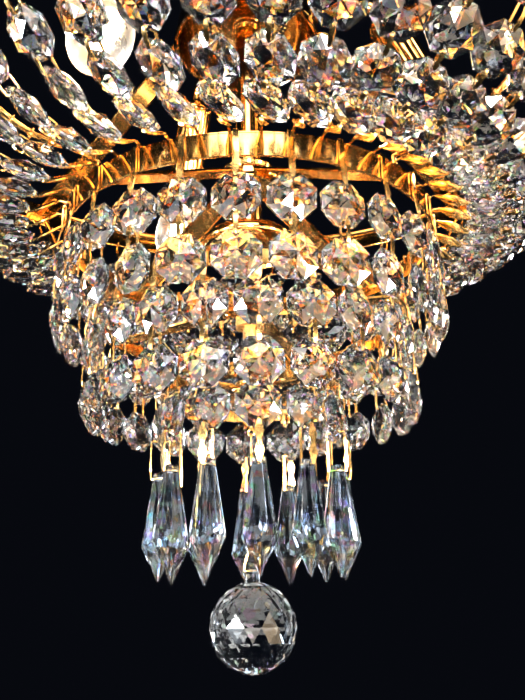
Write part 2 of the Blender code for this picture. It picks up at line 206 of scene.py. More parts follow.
# %% Crystal fire group
fire_group, given, gives = new_group(
    "crystal_fire",
    [("Cell Scale", "NodeSocketFloat", 500.0), ("Share", "NodeSocketFloat", 0.14),
     ("Strength", "NodeSocketFloat", 0.5), ("Clear", "NodeSocketColor", (1, 1, 1, 1))],
    [("Color", "NodeSocketColor"), ("Roughness", "NodeSocketFloat")])
cells = node(fire_group, "ShaderNodeTexVoronoi")
cells.inputs["Scale"].default_value = 1.0
fire_group.links.new(scaled_place(fire_group, given.outputs["Cell Scale"]), cells.inputs["Vector"])
parts = node(fire_group, "ShaderNodeSeparateColor")
fire_group.links.new(cells.outputs["Color"], parts.inputs["Color"])
hue = node(fire_group, "ShaderNodeCombineColor", mode="HSV")
fire_group.links.new(parts.outputs["Red"], hue.inputs["Red"])
fire_group.links.new(given.outputs["Strength"], hue.inputs["Green"])
hue.inputs["Blue"].default_value = 1.0
chosen = node(fire_group, "ShaderNodeMath", operation="LESS_THAN")
fire_group.links.new(parts.outputs["Green"], chosen.inputs[0])
fire_group.links.new(given.outputs["Share"], chosen.inputs[1])
flash = mixed(fire_group, chosen.outputs[0], given.outputs["Clear"], hue.outputs["Color"])
fire_group.links.new(flash, gives.inputs["Color"])
dust = between(fire_group, parts.outputs["Blue"], 0.3, 1.0, 0.02, 0.08)
fire_group.links.new(dust, gives.inputs["Roughness"])
print("crystal_fire:", len(fire_group.nodes), "nodes")

# %% [markdown]
# ## The polish of the brass
# Polished, lacquered brass is bright but never even.  It has soft clouds of a deeper tone, fine grains of
# dullness and a surface that is a little wavy from rolling, which breaks up its reflections.

# %% Brass polish group
polish_group, given, gives = new_group(
    "metal_polish",
    [("Bright", "NodeSocketColor", (0.9, 0.55, 0.2, 1)), ("Deep", "NodeSocketColor", (0.6, 0.3, 0.08, 1)),
     ("Cloud Scale", "NodeSocketFloat", 140.0), ("Grain Scale", "NodeSocketFloat", 2600.0),
     ("Smoothest", "NodeSocketFloat", 0.1), ("Dullest", "NodeSocketFloat", 0.28)],
    [("Color", "NodeSocketColor"), ("Roughness", "NodeSocketFloat"), ("Height", "NodeSocketFloat")])
clouds = node(polish_group, "ShaderNodeTexNoise")
clouds.inputs["Scale"].default_value = 1.0
clouds.inputs["Detail"].default_value = 5.0
cloud_place = scaled_place(polish_group, given.outputs["Cloud Scale"])
polish_group.links.new(cloud_place, clouds.inputs["Vector"])
grain = node(polish_group, "ShaderNodeTexNoise")
grain.inputs["Scale"].default_value = 1.0
grain.inputs["Detail"].default_value = 2.0
grain_place = scaled_place(polish_group, given.outputs["Grain Scale"])
polish_group.links.new(grain_place, grain.inputs["Vector"])
tone = between(polish_group, clouds.outputs["Fac"], 0.35, 0.75, 0.0, 1.0)
polish_group.links.new(mixed(polish_group, tone, given.outputs["Bright"], given.outputs["Deep"]),
                       gives.inputs["Color"])
blend = node(polish_group, "ShaderNodeMath", operation="MULTIPLY")
polish_group.links.new(grain.outputs["Fac"], blend.inputs[0])
polish_group.links.new(clouds.outputs["Fac"], blend.inputs[1])
dull = between(polish_group, blend.outputs[0], 0.12, 0.42, given.outputs["Smoothest"],
               given.outputs["Dullest"])
polish_group.links.new(dull, gives.inputs["Roughness"])
polish_group.links.new(clouds.outputs["Fac"], gives.inputs["Height"])
print("metal_polish:", len(polish_group.nodes), "nodes")

# %% [markdown]
# ## The finishes
# Crystal is a Principled shader with full transmission and the high index of lead glass.  Each metal is
# the same polish group with its own two tones.  The lamps are frosted glass that glows, so their own light
# falls on the brass and the stones from inside.


# %% Materials
def principled(name):
    made = bpy.data.materials.new(name)
    made.use_nodes = True
    return made, made.node_tree, made.node_tree.nodes["Principled BSDF"]


def place_group(tree, group, **values):
    step = node(tree, "ShaderNodeGroup", node_tree=group)
    for label, value in values.items():
        step.inputs[label.replace("_", " ")].default_value = value
    return step


def crystal(name, **values):
    made, tree, shader = principled(name)
    fire = place_group(tree, fire_group, **values)
    tree.links.new(fire.outputs["Color"], shader.inputs["Base Color"])
    tree.links.new(fire.outputs["Roughness"], shader.inputs["Roughness"])
    shader.inputs["Transmission Weight"].default_value = 1.0
    shader.inputs["IOR"].default_value = 1.58
    return made


def metal(name, wave=0.006 * MM, **values):
    made, tree, shader = principled(name)
    polish = place_group(tree, polish_group, **values)
    tree.links.new(polish.outputs["Color"], shader.inputs["Base Color"])
    tree.links.new(polish.outputs["Roughness"], shader.inputs["Roughness"])
    shader.inputs["Metallic"].default_value = 1.0
    bump = node(tree, "ShaderNodeBump")
    bump.inputs["Distance"].default_value = wave
    bump.inputs["Strength"].default_value = 0.6
    tree.links.new(polish.outputs["Height"], bump.inputs["Height"])
    tree.links.new(bump.outputs["Normal"], shader.inputs["Normal"])
    return made


OCTAGON_CRYSTAL = crystal("octagon_crystal", Cell_Scale=900.0, Share=0.24, Strength=0.62,
                          Clear=(1.0, 0.975, 0.955, 1))
PRISM_CRYSTAL = crystal("prism_crystal", Cell_Scale=420.0, Share=0.22, Strength=0.6,
                        Clear=(0.72, 0.85, 1.0, 1))
BALL_CRYSTAL = crystal("ball_crystal", Cell_Scale=300.0, Share=0.08, Strength=0.3,
                       Clear=(0.84, 0.92, 1.0, 1))
BRASS = metal("polished_brass", Bright=(0.94, 0.54, 0.17, 1), Deep=(0.72, 0.36, 0.09, 1),
              Smoothest=0.05, Dullest=0.15)
PIN_BRASS = metal("pin_brass", Bright=(1.0, 0.62, 0.22, 1), Deep=(0.82, 0.44, 0.12, 1),
                  Cloud_Scale=400.0, Smoothest=0.1, Dullest=0.22)
BELL_BRASS = metal("bell_brass", Bright=(0.44, 0.25, 0.09, 1), Deep=(0.25, 0.13, 0.04, 1),
                   Smoothest=0.05, Dullest=0.14)
ROD_BRASS = metal("rod_brass", Bright=(0.74, 0.42, 0.13, 1), Deep=(0.45, 0.23, 0.07, 1),
                  Cloud_Scale=260.0, Smoothest=0.2, Dullest=0.42)
STEEL = metal("zinc_steel", Bright=(0.72, 0.72, 0.70, 1), Deep=(0.45, 0.46, 0.47, 1),
              Cloud_Scale=90.0, Smoothest=0.28, Dullest=0.5)
print("finishes:", OCTAGON_CRYSTAL.name, BRASS.name, PIN_BRASS.name, ROD_BRASS.name, STEEL.name)

# %% [markdown]
# ## The glow of a lamp
# A small frosted bulb is a glass shell round a hot core.  The frost blurs the core into a soft ball of
# light, and the stones near it catch hundreds of small warm glints.  The core's colour follows a soft
# cloud, and its strength is one plain number, so the three lamps shine alike.

# %% Glow group and lamp glass
glow_group, given, gives = new_group(
    "lamp_glow",
    [("Hot", "NodeSocketColor", (1, 0.84, 0.58, 1)), ("Warm", "NodeSocketColor", (1, 0.66, 0.32, 1)),
     ("Scale", "NodeSocketFloat", 90.0)],
    [("Color", "NodeSocketColor"), ("Roughness", "NodeSocketFloat")])
frost = node(glow_group, "ShaderNodeTexNoise")
frost.inputs["Scale"].default_value = 1.0
glow_group.links.new(scaled_place(glow_group, given.outputs["Scale"]), frost.inputs["Vector"])
heat = between(glow_group, frost.outputs["Fac"], 0.35, 0.65, 0.0, 1.0)
glow_group.links.new(mixed(glow_group, heat, given.outputs["Hot"], given.outputs["Warm"]),
                     gives.inputs["Color"])
glow_group.links.new(between(glow_group, frost.outputs["Fac"], 0.3, 0.7, 0.22, 0.34),
                     gives.inputs["Roughness"])
CORE_GLOW = 150.0
LAMP_CORE, tree, shader = principled("lamp_core")
glow = place_group(tree, glow_group)
tree.links.new(glow.outputs["Color"], shader.inputs["Emission Color"])
tree.links.new(glow.outputs["Color"], shader.inputs["Base Color"])
shader.inputs["Emission Strength"].default_value = CORE_GLOW
LAMP_GLASS, tree, shader = principled("lamp_glass")
glow = place_group(tree, glow_group, Hot=(1, 0.97, 0.92, 1), Warm=(1, 0.93, 0.82, 1))
tree.links.new(glow.outputs["Color"], shader.inputs["Base Color"])
tree.links.new(glow.outputs["Roughness"], shader.inputs["Roughness"])
shader.inputs["Transmission Weight"].default_value = 1.0
shader.inputs["IOR"].default_value = 1.25
print("the cores glow at", CORE_GLOW)

# %% [markdown]
# ## Tools of the workshop
# A bench comes first: `piece` sets a finished mesh on its body of the frame and hides the plain node it
# stands for, `mesh_of` closes a mesh, and `add_copy` puts one more copy of a mesh in its place.

# %% Pieces on their bodies
PIECES = bpy.data.collections.new("chandelier")
bpy.context.scene.collection.children.link(PIECES)


def piece(name, mesh, finish, body="frame", stands_for="", slot="brass"):
    """A finished piece: linked, given its material, riding on its body."""
    made = bpy.data.objects.new(name, mesh)
    PIECES.objects.link(made)
    made.data.materials.clear()
    made.data.materials.append(finish)
    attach(made, body)
    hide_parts(stands_for)
    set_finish(made, slot)
    return made


def mesh_of(name, bm, smooth_below=None):
    """A mesh from a bmesh.  Edges flatter than the angle are shaded smooth."""
    bmesh.ops.recalc_face_normals(bm, faces=bm.faces)
    mesh = bpy.data.meshes.new(name)
    bm.to_mesh(mesh)
    bm.free()
    if smooth_below:
        mesh.shade_smooth()
        mesh.set_sharp_from_angle(angle=math.radians(smooth_below))
    return mesh


def add_copy(bm, mesh, matrix):
    """Adds a moved copy of a mesh."""
    before = len(bm.verts)
    bm.from_mesh(mesh)
    bm.verts.ensure_lookup_table()
    bmesh.ops.transform(bm, matrix=matrix, verts=bm.verts[before:])


print("the bench is ready")

# %% [markdown]
# ## Lathe, wire bender and strip bender
# Three shapes are enough for the metal of this lamp.  `lathe` turns a profile round the stem and can ripple
# it on the way, `wire` sweeps a round section along points, and `strip` bends flat brass.

# %% Lathe, wire and strip
def lathe(bm, profile, steps, matrix=Matrix(), ripple=None):
    """Turns (radius, z) points round Z.  A closed loop of points makes a ring; a profile whose ends lie on
    the axis makes a solid.  `ripple(angle, radius, z)` may change the radius on the way round."""
    solid = profile[0][0] == 0
    rows = []
    for angle in fan(steps):
        row = []
        for radius, z in profile:
            if solid and radius == 0:
                row.append(None)
                continue
            reach = ripple(angle, radius, z) if ripple else radius
            row.append(bm.verts.new(matrix @ polar(reach, angle, z)))
        rows.append(row)
    poles = {}
    if solid:
        for i in (0, len(profile) - 1):
            poles[i] = bm.verts.new(matrix @ Vector((0, 0, profile[i][1])))
    count = len(profile)
    for k, row in enumerate(rows):
        following = rows[(k + 1) % steps]
        for i in range(count if not solid else count - 1):
            j = (i + 1) % count
            corners = [row[i] or poles[i], row[j] or poles[j]]
            corners += [following[j] or poles[j], following[i] or poles[i]]
            unique = list(dict.fromkeys(corners))
            if len(unique) > 2:
                bm.faces.new(unique)


def wire(bm, points, radius, sides=8, closed=False, taper=None):
    """Sweeps a round section along points, with flat caps on its ends when it is open."""
    count = len(points)
    runs = []
    for i in range(count):
        before = points[i - 1] if i or closed else points[i]
        after = points[(i + 1) % count] if i < count - 1 or closed else points[i]
        runs.append((after - before).normalized())
    side = runs[0].orthogonal().normalized()
    rows = []
    for i, (point, run) in enumerate(zip(points, runs)):
        side = (side - run * side.dot(run)).normalized()
        other = run.cross(side)
        r = radius * (taper(i / (count - 1)) if taper else 1)
        rows.append([bm.verts.new(point + (side * math.cos(a) + other * math.sin(a)) * r)
                     for a in fan(sides)])
    last = count if closed else count - 1
    twist = 0
    if closed:  # turn the last row so that it meets the first
        gaps = [sum((rows[-1][k].co - rows[0][(k + t) % sides].co).length for k in range(sides))
                for t in range(sides)]
        twist = gaps.index(min(gaps))
    for i in range(last):
        here, there = rows[i], rows[(i + 1) % count]
        shift = twist if i == count - 1 else 0
        for k in range(sides):
            n = (k + 1) % sides
            bm.faces.new((here[k], here[n], there[(n + shift) % sides], there[(k + shift) % sides]))
    if not closed:
        bm.faces.new(rows[0])
        bm.faces.new(rows[-1])


def strip(bm, path, side, thick, closed=True):
    """Bends a flat strip along (point, half width) stations in a plane square to `side`."""
    count = len(path)
    rows = []
    for i, (point, half_width) in enumerate(path):
        before = path[i - 1][0] if i or closed else point
        after = path[(i + 1) % count][0] if i < count - 1 or closed else point
        face = side.cross(after - before).normalized() * (thick / 2)
        edge = side * half_width
        corners = (edge + face, face - edge, -edge - face, edge - face)
        rows.append([bm.verts.new(point + corner) for corner in corners])
    for i in range(count if closed else count - 1):
        here, there = rows[i], rows[(i + 1) % count]
        for k in range(4):
            n = (k + 1) % 4
            bm.faces.new((here[k], here[n], there[n], there[k]))
    if not closed:
        bm.faces.new(rows[0])
        bm.faces.new(rows[-1])


def basis(side, face, up, place):
    """A placing whose X, Y and Z are the three given directions."""
    return Matrix.Translation(place) @ Matrix((side, face, up)).transposed().to_4x4()


print("lathe, wire and strip are ready")

# %% [markdown]
# ## Cutting a stone
# A stone is cut by grinding flats until only flats are left, so it is the smallest convex body round its
# corner points.  `cut_stone` takes rings of corners and asks for their convex hull: the facets follow by
# themselves.  An octagon has eight long facets that meet in its middle and sixteen round its rim, on both
# faces.  The holes for the pins are then drilled with a Boolean cut.


# %% Cut stones by convex hull
def cut_stone(name, rings):
    """The hull of rings of corners: (height on the axis, radius, how many, first angle)."""
    bm = bmesh.new()
    for height, radius, count, start in rings:
        for angle in fan(count, start):
            bm.verts.new((radius * math.cos(angle), radius * math.sin(angle), height))
    bmesh.ops.remove_doubles(bm, verts=bm.verts, dist=0.00001)
    hull = bmesh.ops.convex_hull(bm, input=bm.verts)
    inside = [v for v in hull["geom_interior"] if isinstance(v, bmesh.types.BMVert)]
    bmesh.ops.delete(bm, geom=inside, context="VERTS")
    bmesh.ops.dissolve_limit(bm, angle_limit=math.radians(0.6), verts=bm.verts, edges=bm.edges)
    return mesh_of(name, bm)


def drilled(mesh, holes, radius, reach):
    """The mesh with round holes: each (place, direction), cut through."""
    drill = bmesh.new()
    for place, direction in holes:
        turn = direction.to_track_quat("Z", "Y").to_matrix().to_4x4()
        bmesh.ops.create_cone(drill, cap_ends=True, segments=10, radius1=radius, radius2=radius,
                              depth=reach, matrix=Matrix.Translation(place) @ turn)
    blank = bpy.data.objects.new("blank", mesh)
    bit = bpy.data.objects.new("bit", mesh_of("bit", drill))
    for made in (blank, bit):
        PIECES.objects.link(made)
    cut = blank.modifiers.new("drill", "BOOLEAN")
    cut.operation = "DIFFERENCE"
    cut.object = bit
    seen = blank.evaluated_get(bpy.context.evaluated_depsgraph_get())
    result = bpy.data.meshes.new_from_object(seen)
    result.name = mesh.name + "_drilled"
    for made in (blank, bit):
        bpy.data.objects.remove(made)
    return result


EIGHTH = math.pi / 8
OCTAGON = 14 * MM  # across the flats
STONE_DEEP = 6.4 * MM
CROWN = 4.5 * MM
CROWN_HIGH = 2.05 * MM
GIRDLE = 0.5 * MM
PIN_HOLE = 5.5 * MM  # from the stone's middle
corner = OCTAGON / 2 / math.cos(EIGHTH)
half_rings = [(STONE_DEEP / 2, 0, 1, 0), (CROWN_HIGH, CROWN, 8, 0), (GIRDLE, corner, 8, EIGHTH)]
octagon_blank = cut_stone("octagon", half_rings + [(-h, r, n, a) for h, r, n, a in half_rings])
octagon_blank.transform(Matrix.Rotation(math.pi / 2, 4, "X"))
octagon_holes = [(Vector((0, 0, PIN_HOLE * s)), Vector((0, 1, 0))) for s in (1, -1)]
OCTAGON_STONE = drilled(octagon_blank, octagon_holes, 0.65 * MM, 10 * MM)
print("octagon:", len(OCTAGON_STONE.polygons), "facets on", round(OCTAGON / MM), "mm")

# %% [markdown]
# ## The brass pins
# Stones are joined by bent strips.  In front, between two holes, each strip is cut to a bow-tie with a
# waist in the middle: a wide one above the long prisms, a slim one everywhere else.  Its narrow ends go
# back through the holes and lie behind the stones.  A closed bent strip gives the shape in one sweep.

# %% Pins
STRIP_THICK = 0.42 * MM
STRIP_NARROW = 0.38 * MM  # half widths
STRIP_WAIST = 0.55 * MM
BOW = 1.45 * MM
SLIM_BOW = 0.72 * MM
LOOP_DEEP = 2.0 * MM  # how far the strip stands before and behind the stone's middle


def bow_tie_pin(bm, upper, lower, side, face, deep=LOOP_DEEP, bow=SLIM_BOW):
    """A closed pin through the holes at `upper` and `lower`; `face` is where its front looks."""
    run = lower - upper
    neck = (bow + STRIP_NARROW) / 2
    waist = min(STRIP_WAIST, bow * 0.7)
    path = [(upper + face * depth, STRIP_NARROW) for depth in (-deep, 0, deep)]
    for share, half_width in ((0.12, neck), (0.26, bow), (0.5, waist), (0.74, bow), (0.88, neck)):
        bulge = 0.25 * MM * math.sin(math.pi * share)
        path.append((upper + run * share + face * (deep + bulge), half_width))
    path += [(lower + face * depth, STRIP_NARROW) for depth in (deep, 0, -deep)]
    path += [(upper + run * share - face * deep, STRIP_NARROW) for share in (0.66, 0.33)]
    strip(bm, path, side, STRIP_THICK)


def leaf_pin(bm, upper, lower, side, face, half):
    """A flat pin as wide as a leaf, cupped lengthwise, from the hole at `upper` to a point on a ring."""
    start = upper + face * LOOP_DEEP
    run = lower - start
    rows = []
    for share, wide in ((0, 0.3), (0.15, 0.6), (0.35, 1.0), (0.6, 0.85), (0.85, 0.45), (1, 0.25)):
        middle = start + run * share
        front = [middle + side * (half * wide * x) + face * (half * 0.35 * wide * (1 - x * x))
                 for x in (-1, -0.5, 0, 0.5, 1)]
        rear = [point - face * STRIP_THICK for point in reversed(front)]
        rows.append([bm.verts.new(point) for point in front + rear])
    for here, there in zip(rows, rows[1:]):
        for i in range(10):
            j = (i + 1) % 10
            bm.faces.new((here[i], here[j], there[j], there[i]))
    bm.faces.new(rows[0])
    bm.faces.new(rows[-1])
    eye = [upper - face * LOOP_DEEP - run.normalized() * 2 * MM, upper - face * LOOP_DEEP, upper, start]
    strip(bm, [(point, STRIP_NARROW) for point in eye], side, STRIP_THICK, closed=False)


def band_hook(bm, hole, side, face, band, deep=LOOP_DEEP):
    """A long flat pin from a stone's hole up over a band: (middle of its wall, top, low, half thick)."""
    wall, top, low, half = band
    clear = half + STRIP_THICK
    path = [(hole - face * deep - UP * 2.4 * MM, STRIP_NARROW), (hole - face * deep, STRIP_NARROW)]
    path += [(hole, STRIP_NARROW), (hole + face * deep, STRIP_NARROW)]
    path.append((hole + face * deep + UP * 1.6 * MM, 0.95 * MM))
    path.append((wall + face * clear + UP * (low + 0.8 * MM), 1.0 * MM))
    path.append((wall + face * clear + UP * (top + 0.1 * MM), 0.8 * MM))
    path.append((wall + face * (half * 0.5) + UP * (top + 0.75 * MM), 0.6 * MM))
    path.append((wall - face * (half * 0.5) + UP * (top + 0.75 * MM), 0.6 * MM))
    path.append((wall - face * clear + UP * (top + 0.1 * MM), 0.55 * MM))
    path.append((wall - face * clear + UP * (top - 4.2 * MM), 0.4 * MM))
    strip(bm, path, side, STRIP_THICK, closed=False)


print("a pin's front stands", round(LOOP_DEEP / MM, 2), "mm before the stone's middle")

# %% [markdown]
# ## The curtains
# Each string of a curtain is two octagons one above the other.  They hang freely, so no two face exactly
# the same way: every stone gets a small turn about its pins from a seeded shuffle, which stays the same on
# each run.  The pins are a piece of their own, because they are brass.

# %% Curtain strings
LOOSE_TURN = 0.2  # how far a stone may turn about its pins, in radians
LOOSE_LEAN = 0.05
shuffle = random.Random(21)


def hung_stone(bm, angle, radius, z, turn):
    """One octagon facing outward, turned about the vertical through its holes."""
    place = basis(around(angle), -outward(angle), UP, polar(radius, angle, z))
    lean = Matrix.Rotation(shuffle.uniform(-LOOSE_LEAN, LOOSE_LEAN), 4, "Y")
    add_copy(bm, OCTAGON_STONE, place @ lean @ Matrix.Rotation(turn, 4, "Z"))


def curtain(label, cad_node, count, start, rows, band):
    radius, top, low, half = band
    for k, angle in enumerate(fan(count, start), start=1):
        stones = bmesh.new()
        pins = bmesh.new()
        side, face = around(angle), outward(angle)
        for z in rows:
            hung_stone(stones, angle, radius, z, shuffle.uniform(-LOOSE_TURN, LOOSE_TURN))
        first = polar(radius, angle, rows[0] + PIN_HOLE)
        band_hook(pins, first, side, face, (polar(radius, angle, 0), top, low, half))
        for upper, lower in zip(rows, rows[1:]):
            above = polar(radius, angle, upper - PIN_HOLE)
            below = polar(radius, angle, lower + PIN_HOLE)
            bow_tie_pin(pins, above, below, side, face)
        piece(f"{label}_string_{k}_stones", mesh_of("stones", stones), OCTAGON_CRYSTAL,
              stands_for=cad_node, slot="crystal")
        piece(f"{label}_string_{k}_pins", mesh_of("pins", pins, 50), PIN_BRASS, stands_for=cad_node)
    print(label, "curtain:", count, "strings of", len(rows), "stones")


BAND_HALF = 0.55 * MM
RING_A_RADIUS, RING_A_LOW, _ = turned_size("ring_a")
RING_B_RADIUS, RING_B_LOW, _ = turned_size("ring_b")
RING_C_RADIUS, RING_C_LOW, _ = turned_size("ring_c")
RING_A = (RING_A_RADIUS - BAND_HALF, RING_A_LOW + 8 * MM, RING_A_LOW, BAND_HALF)
RING_B = (RING_B_RADIUS - BAND_HALF, RING_B_LOW + 4.5 * MM, RING_B_LOW, BAND_HALF)
RING_C = (RING_C_RADIUS - BAND_HALF, RING_C_LOW + 4 * MM, RING_C_LOW, BAND_HALF)
STRING_PITCH = 17.7 * MM  # from one stone of a string to the next
UPPER_ROW = -172.9 * MM
LOWER_ROW = -199.6 * MM
curtain("upper", "tier_a_strings", 26, math.radians(-2.2), (UPPER_ROW, UPPER_ROW - STRING_PITCH), RING_A)
curtain("lower", "tier_b_strings", 22, math.radians(3.5), (LOWER_ROW, LOWER_ROW - STRING_PITCH), RING_B)

# %% [markdown]
# ## The basket
# Forty-four strings of five octagons sag from the outer ring to the main ring, as a chain does.  Towards
# the small ring the strings come closer together than a stone is wide, so the last stones turn a little
# like the slats of a blind, and a long flat pin bridges the rest of the way to the ring.

# %% Basket strings
BASKET_OUTER = (148.4 * MM, -94.2 * MM)
BASKET_INNER = (66.5 * MM, -151.5 * MM)
SAG = 24 * MM
LAST_BEAD = 0.80  # where the lowest stone lies, as a share of the string
BEAD_PITCH = 1 / 6
BEAD_PLACES = [LAST_BEAD - k * BEAD_PITCH for k in reversed(range(5))]
STRINGS = 44
STRINGS_PER_NODE = STRINGS // 4
SLAT_TURN = math.radians(36)  # the most that a stone turns about its string
LEAF_TURN = math.radians(30)
LEAF_HALF = 2.1 * MM
BASKET_START = math.radians(4.3)


def sagging(t):
    """Radius and height at share t of a string, and its downward run there."""
    r = BASKET_OUTER[0] + (BASKET_INNER[0] - BASKET_OUTER[0]) * t
    fall = BASKET_INNER[1] - BASKET_OUTER[1]
    z = BASKET_OUTER[1] + fall * t - 4 * SAG * t * (1 - t)
    slope = fall - 4 * SAG * (1 - 2 * t)
    run = Vector((BASKET_INNER[0] - BASKET_OUTER[0], slope)).normalized()
    return r, z, run


def slat_turn(r):
    """How far a stone turns about its string so that neighbours clear each other."""
    room = 2 * math.pi * r / STRINGS / OCTAGON
    return SLAT_TURN * min(1.0, max(0.0, (1.30 - room) / 0.35))


def basket_frame(angle, t, turn):
    """Place, side, outward face and upward run of a stone of the basket."""
    r, z, run = sagging(t)
    down = outward(angle) * run.x + UP * run.y
    face = -outward(angle) * run.y + UP * run.x
    spin = Matrix.Rotation(turn, 3, down)
    return polar(r, angle, z), spin @ around(angle), spin @ face, -down


def basket_string(angle, k):
    stones = bmesh.new()
    pins = bmesh.new()
    frames = []
    for t in BEAD_PLACES:
        turn = slat_turn(sagging(t)[0]) + shuffle.uniform(-0.08, 0.08)
        frames.append(basket_frame(angle, t, turn))
    for place, side, face, up in frames:
        add_copy(stones, OCTAGON_STONE, basis(side, -face, up, place))
    chain = [basket_frame(angle, 0, 0), *frames]
    for i, (above, below) in enumerate(zip(chain, chain[1:])):
        upper = above[0] if i == 0 else above[0] - above[3] * PIN_HOLE
        lower = below[0] + below[3] * PIN_HOLE
        run = (lower - upper).normalized()
        side = (above[1] + below[1]).normalized()
        face = side.cross(run).normalized()
        if face.dot(above[2]) < 0:
            face = -face
        side = (side - run * side.dot(run)).normalized()
        bow_tie_pin(pins, upper, lower, side, face)
    last = frames[-1]
    foot, side, face, _ = basket_frame(angle, 1, LEAF_TURN)
    leaf_pin(pins, last[0] - last[3] * PIN_HOLE, foot, side, face, LEAF_HALF)
    over = [foot, polar(RING_A[0], angle, RING_A[1] + 0.8 * MM)]
    over += [polar(RING_A[0] - 1.1 * MM, angle, RING_A[1] + z * MM) for z in (0.4, -3)]
    strip(pins, [(point, STRIP_NARROW) for point in over], around(angle), STRIP_THICK, closed=False)
    cad_node = f"basket_strings_{k // STRINGS_PER_NODE + 1}"
    piece(f"basket_string_{k + 1}_stones", mesh_of("stones", stones), OCTAGON_CRYSTAL,
          stands_for=cad_node, slot="crystal")
    piece(f"basket_string_{k + 1}_pins", mesh_of("pins", pins, 50), PIN_BRASS, stands_for=cad_node)


for k, angle in enumerate(fan(STRINGS, BASKET_START)):
    basket_string(angle, k)
last_turn = slat_turn(sagging(BEAD_PLACES[-1])[0])
print("basket:", STRINGS, "strings; the last stones turn", round(math.degrees(last_turn)), "degrees")

# %% [markdown]
# ## The prisms
# Each of the twelve swinging strings is an octagon, a bow-tie pin and a long drop.  The drop flares from a
# small drilled collar to a shoulder and closes in a short point whose extra facets make it glitter.  Their
# places come from the plain prisms of the frame, so each one swings exactly where its pin is.

# %% Prism strings
PRISM_SIDES = 8
PRISM_ROW = -223.1 * MM  # height of the octagons above the drops
RING_C_HOLE = 1.2 * MM  # above the lower edge of the smallest band
low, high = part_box("prism_1")
PRISM_TOP = high.z
PRISM_LONG = high.z - low.z
PRISM_WIDE = 5.45 * MM
SHOULDER = PRISM_LONG * 0.66
HALF_SIDE = math.pi / PRISM_SIDES
prism_rings = [
    (0, 1.75 * MM, PRISM_SIDES, 0), (-0.5 * MM, 2.15 * MM, PRISM_SIDES, 0),
    (-3.2 * MM, 2.45 * MM, PRISM_SIDES, 0), (-SHOULDER, PRISM_WIDE, PRISM_SIDES, 0),
    (-SHOULDER - 1.0 * MM, PRISM_WIDE * 0.965, PRISM_SIDES, HALF_SIDE),
    (-PRISM_LONG * 0.83, PRISM_WIDE * 0.525, PRISM_SIDES, 0),
    (-PRISM_LONG + 0.05 * MM, 0.25 * MM, PRISM_SIDES, HALF_SIDE)]
PRISM_HOLE = 1.8 * MM
prism_blank = cut_stone("prism", prism_rings)
prism_blank.transform(Matrix.Rotation(HALF_SIDE, 4, "Z"))  # a flat faces the front
PRISM_STONE = drilled(prism_blank, [(Vector((0, 0, -PRISM_HOLE)), Vector((0, 1, 0)))], 0.65 * MM, 12 * MM)
print("prism:", len(PRISM_STONE.polygons), "facets,", round(PRISM_LONG / MM, 1), "mm long")


def prism_string(k):
    radius, angle = place_round_stem(f"prism_{k}")
    side, face = around(angle), outward(angle)
    ring_hole = polar(radius, angle, RING_C[2] + RING_C_HOLE)
    stones = bmesh.new()
    hung_stone(stones, angle, radius, PRISM_ROW, shuffle.uniform(-0.15, 0.15))
    piece(f"prism_string_{k}_stone", mesh_of("stone", stones), OCTAGON_CRYSTAL, f"prism_link_{k}",
          f"prism_link_{k}", "crystal")
    pins = bmesh.new()
    top = polar(radius, angle, PRISM_ROW + PIN_HOLE)
    strip_loop = [(ring_hole + face * d, STRIP_NARROW) for d in (-LOOP_DEEP, 0, LOOP_DEEP)]
    strip_loop += [(top + face * d, STRIP_NARROW) for d in (LOOP_DEEP, 0, -LOOP_DEEP)]
    strip(pins, strip_loop, side, STRIP_THICK)
    upper = polar(radius, angle, PRISM_ROW - PIN_HOLE)
    lower = polar(radius, angle, PRISM_TOP - PRISM_HOLE)
    bow_tie_pin(pins, upper, lower, side, face, deep=2.9 * MM, bow=BOW)
    piece(f"prism_string_{k}_pins", mesh_of("pins", pins, 50), PIN_BRASS, f"prism_link_{k}",
          f"prism_link_{k}")
    drop = bmesh.new()
    add_copy(drop, PRISM_STONE, basis(side, -face, UP, polar(radius, angle, PRISM_TOP)))
    piece(f"prism_drop_{k}", mesh_of("drop", drop), PRISM_CRYSTAL, f"prism_{k}", f"prism_{k}", "crystal")


PRISMS = range(1, 13)
for k in PRISMS:
    prism_string(k)
print("prism strings:", len(PRISMS))

# %% [markdown]
# ## The ball
# A faceted ball has rows of flats that are shifted by half a step from row to row, which gives the
# triangles and kites seen on it.  It hangs by a drilled lug on two long links.

# %% Ball and its chain
joints = {joint["name"]: joint for joint in frame["joints"]}
ball_low, ball_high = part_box("ball")
BALL_RADIUS = (ball_high.x - ball_low.x) / 2
BALL_MIDDLE = ball_low.z + BALL_RADIUS
BALL_ROWS = (-90, -74, -56, -38, -19, 0, 19, 38, 56, 74)  # latitudes of the corners
ball_rings = []
for i, degrees in enumerate(BALL_ROWS):
    latitude = math.radians(degrees)
    corners = 1 if degrees == -90 else 8 if abs(degrees) > 60 else 16
    shift = i % 2 * math.pi / corners
    ball_rings.append((BALL_RADIUS * math.sin(latitude), BALL_RADIUS * math.cos(latitude), corners, shift))
ball_mesh = cut_stone("ball", ball_rings)
ball_mesh.transform(Matrix.Translation((0, 0, BALL_MIDDLE)))
piece("faceted_ball", ball_mesh, BALL_CRYSTAL, "ball", "ball", "crystal")
BALL_PIVOT = joints["ball_swing"]["pos_m"][2]
lug_rings = [(BALL_PIVOT + 0.9 * MM, 1.1 * MM, 8, 0), (BALL_PIVOT + 0.3 * MM, 1.8 * MM, 8, 0),
             (BALL_MIDDLE + BALL_RADIUS * 0.955, 2.3 * MM, 8, 0)]
lug = drilled(cut_stone("lug", lug_rings), [(Vector((0, 0, BALL_PIVOT - 0.5 * MM)), Vector((1, 0, 0)))],
              0.7 * MM, 8 * MM)
piece("ball_lug", lug, BALL_CRYSTAL, "ball", "ball", "crystal")
print("ball:", len(ball_mesh.polygons), "facets")


